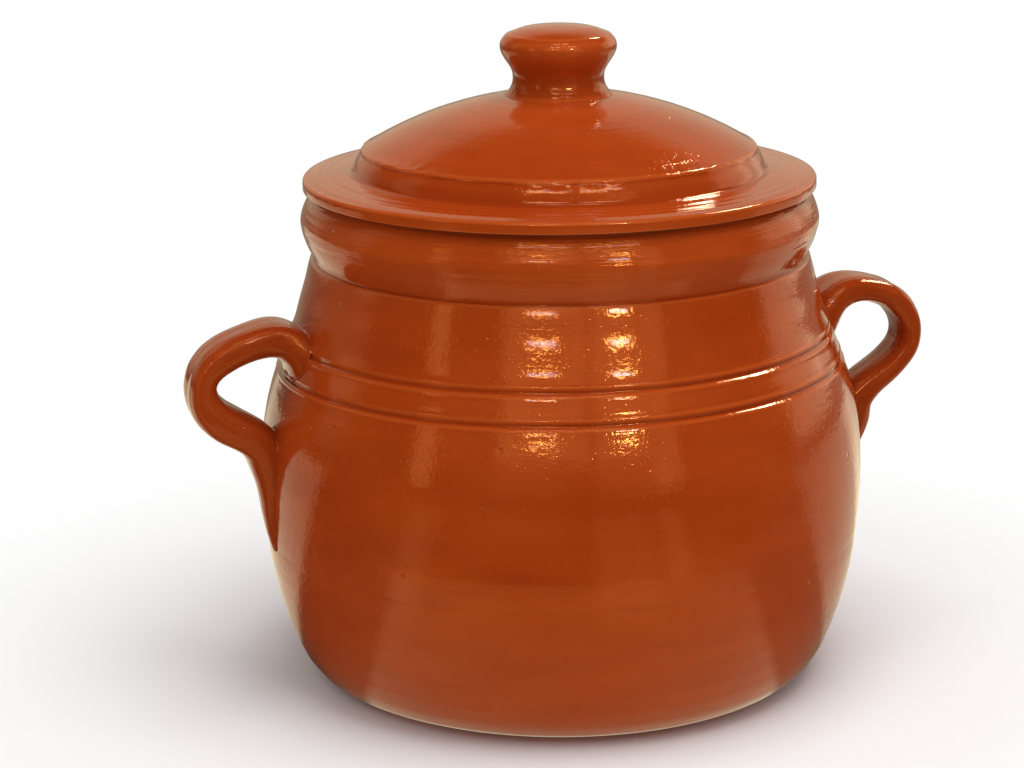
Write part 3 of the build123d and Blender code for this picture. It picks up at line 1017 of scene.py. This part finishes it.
def soft_light(name, azimuth, elevation, distance, width, height, radiance):
    """Rectangular studio light that faces the pot, its power worked out from its radiance."""
    data = bpy.data.lights.new(name, "AREA")
    data.shape = "RECTANGLE"
    data.size = width
    data.size_y = height
    data.energy = radiance * math.pi * width * height
    lamp = in_scene(name, data)
    lamp.location = pot_middle + toward(azimuth, elevation) * distance
    lamp.rotation_mode = "QUATERNION"
    lamp.rotation_quaternion = (lamp.location - pot_middle).to_track_quat("Z", "Y")
    return lamp


def make_lights():
    """Soft light from above and from the camera's side, by azimuth, elevation, distance, width,
    height and radiance. What the glaze mirrors is painted in the world and the floor."""
    for lamp in (
        soft_light("overhead light", -60, 78, 1.3, 1.0, 1.0, 3.95),
        soft_light("left light", -140, 38, 1.2, 0.5, 0.8, 1.2),
        soft_light("right light", -60, 38, 1.2, 0.5, 0.8, 1.05),
    ):
        lamp.visible_glossy = False


fill_strength = 0.50
room_strength = 0.006
# Patches that the glaze mirrors: azimuth, half width, low and high edge and softness in degrees, strength
mirrored_windows = (
    ("left window", -116, 18, 13, 37, 2.0, 1.8),
    ("right window", -85, 11, 13, 37, 2.0, 1.8),
    ("far right window", -68, 5, 0, 38, 2.0, 1.5),
    ("left glow", -118, 16, 2, 13, 3.0, 0.4),
    ("right glow", -83, 13, 0, 13, 3.0, 0.7),
    ("left doorway", -162.5, 4.0, 0, 24, 1.5, 2.1),
    ("right screen", 8, 17, -2, 28, 5.0, 1.4),
    ("right backdrop", 30, 12, -2, 30, 6.0, 0.7),
    ("back window", 26, 8, 42, 52, 2.0, 80.0),
    ("backdrop", 75, 44, -2, 42, 7.0, 0.66),
    ("left backdrop", 138, 20, -2, 16, 6.0, 0.22),
    ("back left wall", 152, 8, 8, 38, 4.0, 0.5),
)
# The same for the sky seen through them
open_sky = (
    ("left sill", -117, 6.0, 20.6, 21.5, 0.8, 110.0),
    ("right sill", -82.5, 4.0, 20.0, 22.6, 0.8, 120.0),
    ("left upper pane", -117, 14.0, 45, 48.5, 2.0, 20.0),
    ("right upper pane", -80, 14.0, 45, 48.5, 2.0, 18.0),
    ("left skylight", -117, 14.0, 66, 69.5, 2.0, 12.0),
    ("right skylight", -80, 14.0, 66, 69.5, 2.0, 11.0),
)
sky_tint = (0.78, 1.0, 1.3, 1)
# The same on the floor, with the edges and their softness in metres from the axis
on_the_table = (
    ("near the foot", -105, 55, 0.05, 0.215, 0.03, 0.55),
    ("left doorway", -156, 5, 0.15, 0.90, 0.04, 0.6),
    ("left window", -116, 14, 0.40, 0.80, 0.04, 0.15),
    ("right window", -89, 9, 0.17, 0.80, 0.04, 0.6),
    ("far right window", -73, 4, 0.22, 0.80, 0.04, 0.8),
    ("right backdrop", 8, 26, 0.10, 0.90, 0.04, 0.5),
    ("far right backdrop", 36, 14, 0.10, 0.90, 0.04, 0.5),
    ("low left backdrop", 130, 28, 0.10, 0.90, 0.04, 0.8),
)


def window_group():
    """A soft-edged patch of light, by its azimuth and its elevation or its distance on the table."""
    tree, given, result = new_tree("Mirrored window", "ShaderNodeTree", {
        "Azimuth": 0.0, "Along": 0.0, "Centre": 0.0, "Half width": 10.0, "Low edge": 0.0,
        "High edge": 10.0, "Side softness": 2.0, "End softness": 2.0, "Strength": 1.0,
    }, {"Light": "Float"})
    apart = calc("WRAP", calc("SUBTRACT", given["Azimuth"], given["Centre"]), 180.0, -180.0)
    inside = calc("SUBTRACT", given["Half width"], calc("ABSOLUTE", apart))
    above = calc("SUBTRACT", given["Along"], given["Low edge"])
    below = calc("SUBTRACT", given["High edge"], given["Along"])
    light = given["Strength"]
    softness = given["Side softness"], given["End softness"], given["End softness"]
    for margin, soft_width in zip((inside, above, below), softness):
        share = calc("MULTIPLY_ADD", calc("DIVIDE", margin, soft_width), 0.5, 0.5)
        light = times(light, remapped(share, 0.0, 1.0, course="SMOOTHSTEP"))
    tree.links.new(light, result["Light"])
    return tree


def summed(window, azimuth, along, patches, side_softness, light):
    """Light of a row of patches added to a starting light."""
    for name, centre, half_width, low, high, softness, strength in patches:
        inputs = {"Azimuth": azimuth, "Along": along, "Centre": centre, "Half width": half_width,
                  "Low edge": low, "High edge": high, "Side softness": side_softness or softness,
                  "End softness": softness, "Strength": strength}
        patch = add(azimuth.id_data, "ShaderNodeGroup", inputs, node_tree=window, label=name)
        light = plus(light, patch.outputs["Light"])
    return light


def make_world(window):
    """White behind the pot, an even fill, and in the glaze a dark room with windows and screens."""
    world = bpy.data.worlds.new("studio")
    world.use_nodes = True
    bpy.context.scene.world = world
    tree = world.node_tree
    tree.nodes.clear()
    output = add(tree, "ShaderNodeOutputWorld")
    path = add(tree, "ShaderNodeLightPath").outputs
    direction = add(tree, "ShaderNodeTexCoord").outputs["Generated"]
    parts = add(tree, "ShaderNodeSeparateXYZ", {0: direction})
    azimuth = calc("DEGREES", calc("ARCTAN2", parts.outputs[1], parts.outputs[0]))
    elevation = calc("DEGREES", calc("ARCSINE", parts.outputs[2]))
    windows = summed(window, azimuth, elevation, mirrored_windows, 0, room_strength)
    sky = summed(window, azimuth, elevation, open_sky, 0, 0.0)
    room = vector_calc("ADD", scaled(room_tint[:3], windows), scaled(sky_tint[:3], sky))
    mirrored = calc("MAXIMUM", path["Is Glossy Ray"], path["Is Transmission Ray"])
    fill = (fill_strength, fill_strength, fill_strength, 1)
    colour = blended(mirrored, fill, room)
    colour = blended(path["Is Camera Ray"], colour, (1, 1, 1, 1))
    background = add(tree, "ShaderNodeBackground", {"Color": colour, "Strength": 1.0})
    tree.links.new(background.outputs[0], output.inputs[0])


def make_camera():
    """Camera at the photograph's place, a little turned, tipped and rolled as it was."""
    heading = camera_azimuth + math.pi - camera_yaw
    flat = math.cos(camera_pitch)
    forward = Vector((math.cos(heading) * flat, math.sin(heading) * flat, -math.sin(camera_pitch)))
    right = forward.cross(Vector((0, 0, 1))).normalized()
    up = right.cross(forward)
    rolled_right = right * math.cos(camera_roll) + up * math.sin(camera_roll)
    rolled_up = up * math.cos(camera_roll) - right * math.sin(camera_roll)
    spot = Vector((math.cos(camera_azimuth), math.sin(camera_azimuth), 0)) * camera_distance
    spot.z = camera_height
    data = bpy.data.cameras.new("camera")
    data.lens = camera_lens
    data.clip_start = 0.01
    data.clip_end = 50
    camera = in_scene("camera", data)
    axes = Matrix((rolled_right, rolled_up, -forward)).transposed()
    camera.matrix_world = Matrix.Translation(spot) @ axes.to_4x4()
    bpy.context.scene.camera = camera


def place_piece(piece, body, node):
    """Lets a piece ride on its body and stand for a CAD node."""
    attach(piece, body)
    if node:
        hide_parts(node)


def make_turned(wheel, clay, name, body, node, outline, combing=None, slot="glazed_clay", **sizes):
    """A piece turned from its outline."""
    drawing = turned_drawing(name + " outline", outline, combing)
    place_piece(turned_outwards(made_by(drawing, wheel, name, Clay=clay, **sizes)), body, node)


def make_strap(strap, glaze, side, shares, node, low, high, seed):
    """A strap handle from its stations, on the +X side (side 1) or the -X side (side -1)."""
    drawing = strap_drawing(node + " line", shares, side, low, high)
    handle = made_by(drawing, strap, node.replace("handle", "strap"), Steps_round=64,
                     Squareness=strap_squareness, Dish=strap_dish, Finger_marks=0.5 * mm,
                     Pull_lines=0.30 * mm, Seed=seed, Clay=glaze)
    if side > 0:
        handle.data.transform(Matrix.Rotation(right_strap_turn, 4, "Z"))
    pressed_to_wall(turned_outwards(handle), root_depth)
    place_piece(handle, "pot", node)
    return handle


def make_seam(seam, glaze, handle, wall, name, seed):
    """Bead of slip round the roots and tail of a handle."""
    drawing = in_scene(name, handle.data.copy())
    bead = made_by(drawing, seam, name, Wall=wall, Bead_radius=0.75 * mm, Bead_steps=0.9 * mm,
                   Unevenness=1.3 * mm, Seed=seed, Clay=glaze)
    place_piece(turned_outwards(bead), "pot", None)


def make_wall_core(wheel, glaze):
    """Plain turned wall, only to find where the handles meet it."""
    wall = spline_through(of_belly(foot_corner_shares + wall_shares), 1.5 * mm)
    lower = straight((0, 0), wall[0], 5 * mm)
    upper = straight(wall[-1], (0, wall[-1, 1]), 5 * mm)
    core = turned_drawing("wall core outline", joined(dressed(lower), dressed(wall), dressed(upper)))
    return turned_outwards(made_by(core, wheel, "wall_core", Steps_round=180, Out_of_round=0.0,
                                   Ring_depth=0.0, Seed=1, Clay=glaze))


def build():
    """Every piece, then the floor, the lights, the world and the camera."""
    marks, skin = glaze_groups()
    pot_glaze, lid_glaze, strap_glaze, bare = (
        clay_material(name, marks, skin, *finish) for name, finish in (
            ("amber glaze on the pot", (430.0, 0.14 * mm, 0.050 * mm, glaze_colour)),
            ("amber glaze on the lid", (380.0, 0.10 * mm, 0.044 * mm, glaze_colour)),
            ("amber glaze on the handles", (500.0, 0.16 * mm, 0.070 * mm, strap_colour)),
            ("bare fired clay", (900.0, 0.08 * mm, 0.04 * mm)),
        ))
    wheel, strap, seam = wheel_tree(), strap_tree(), seam_tree()
    make_turned(wheel, pot_glaze, "thrown_pot", "pot", "pot_body", pot_outline(), pot_combing,
                Steps_round=260, Out_of_round=0.35 * mm, Ring_depth=0.10 * mm, Ring_spacing=6.5 * mm,
                Raggedness=0.25 * mm, Line_drift=0.9 * mm, Seed=3)
    make_turned(wheel, lid_glaze, "thrown_lid", "lid", "lid_cover", lid_outline(),
                Steps_round=300, Out_of_round=0.15 * mm, Ring_depth=0.12 * mm, Ring_spacing=6.0 * mm,
                Raggedness=0.30 * mm, Line_drift=0.0, Seed=8)
    make_turned(wheel, lid_glaze, "turned_knob", "lid", "lid_knob", knob_outline(),
                Steps_round=160, Out_of_round=0.25 * mm, Ring_depth=0.10 * mm, Ring_spacing=3.0 * mm,
                Raggedness=0.35 * mm, Line_drift=0.0, Seed=12)
    make_turned(wheel, bare, "locating_ring", "lid", "lid_locating_ring", ring_outline(),
                slot="bare_clay", Steps_round=180, Out_of_round=0.12 * mm, Ring_depth=0.10 * mm,
                Ring_spacing=2.2 * mm, Raggedness=0.0, Line_drift=0.0, Seed=15)
    core = make_wall_core(wheel, pot_glaze)
    right = make_strap(strap, strap_glaze, 1, right_strap_shares, "right_handle", right_low, right_high, 21)
    left = make_strap(strap, strap_glaze, -1, left_strap_shares, "left_handle", left_low, left_high, 24)
    make_seam(seam, strap_glaze, right, core, "right_slip_seam", 31)
    make_seam(seam, strap_glaze, left, core, "left_slip_seam", 34)
    bpy.data.objects.remove(core)
    window = window_group()
    make_floor(window)
    make_lights()
    make_world(window)
    make_camera()
    bpy.context.scene.view_settings.view_transform = "Standard"


build()
bpy.context.view_layer.update()
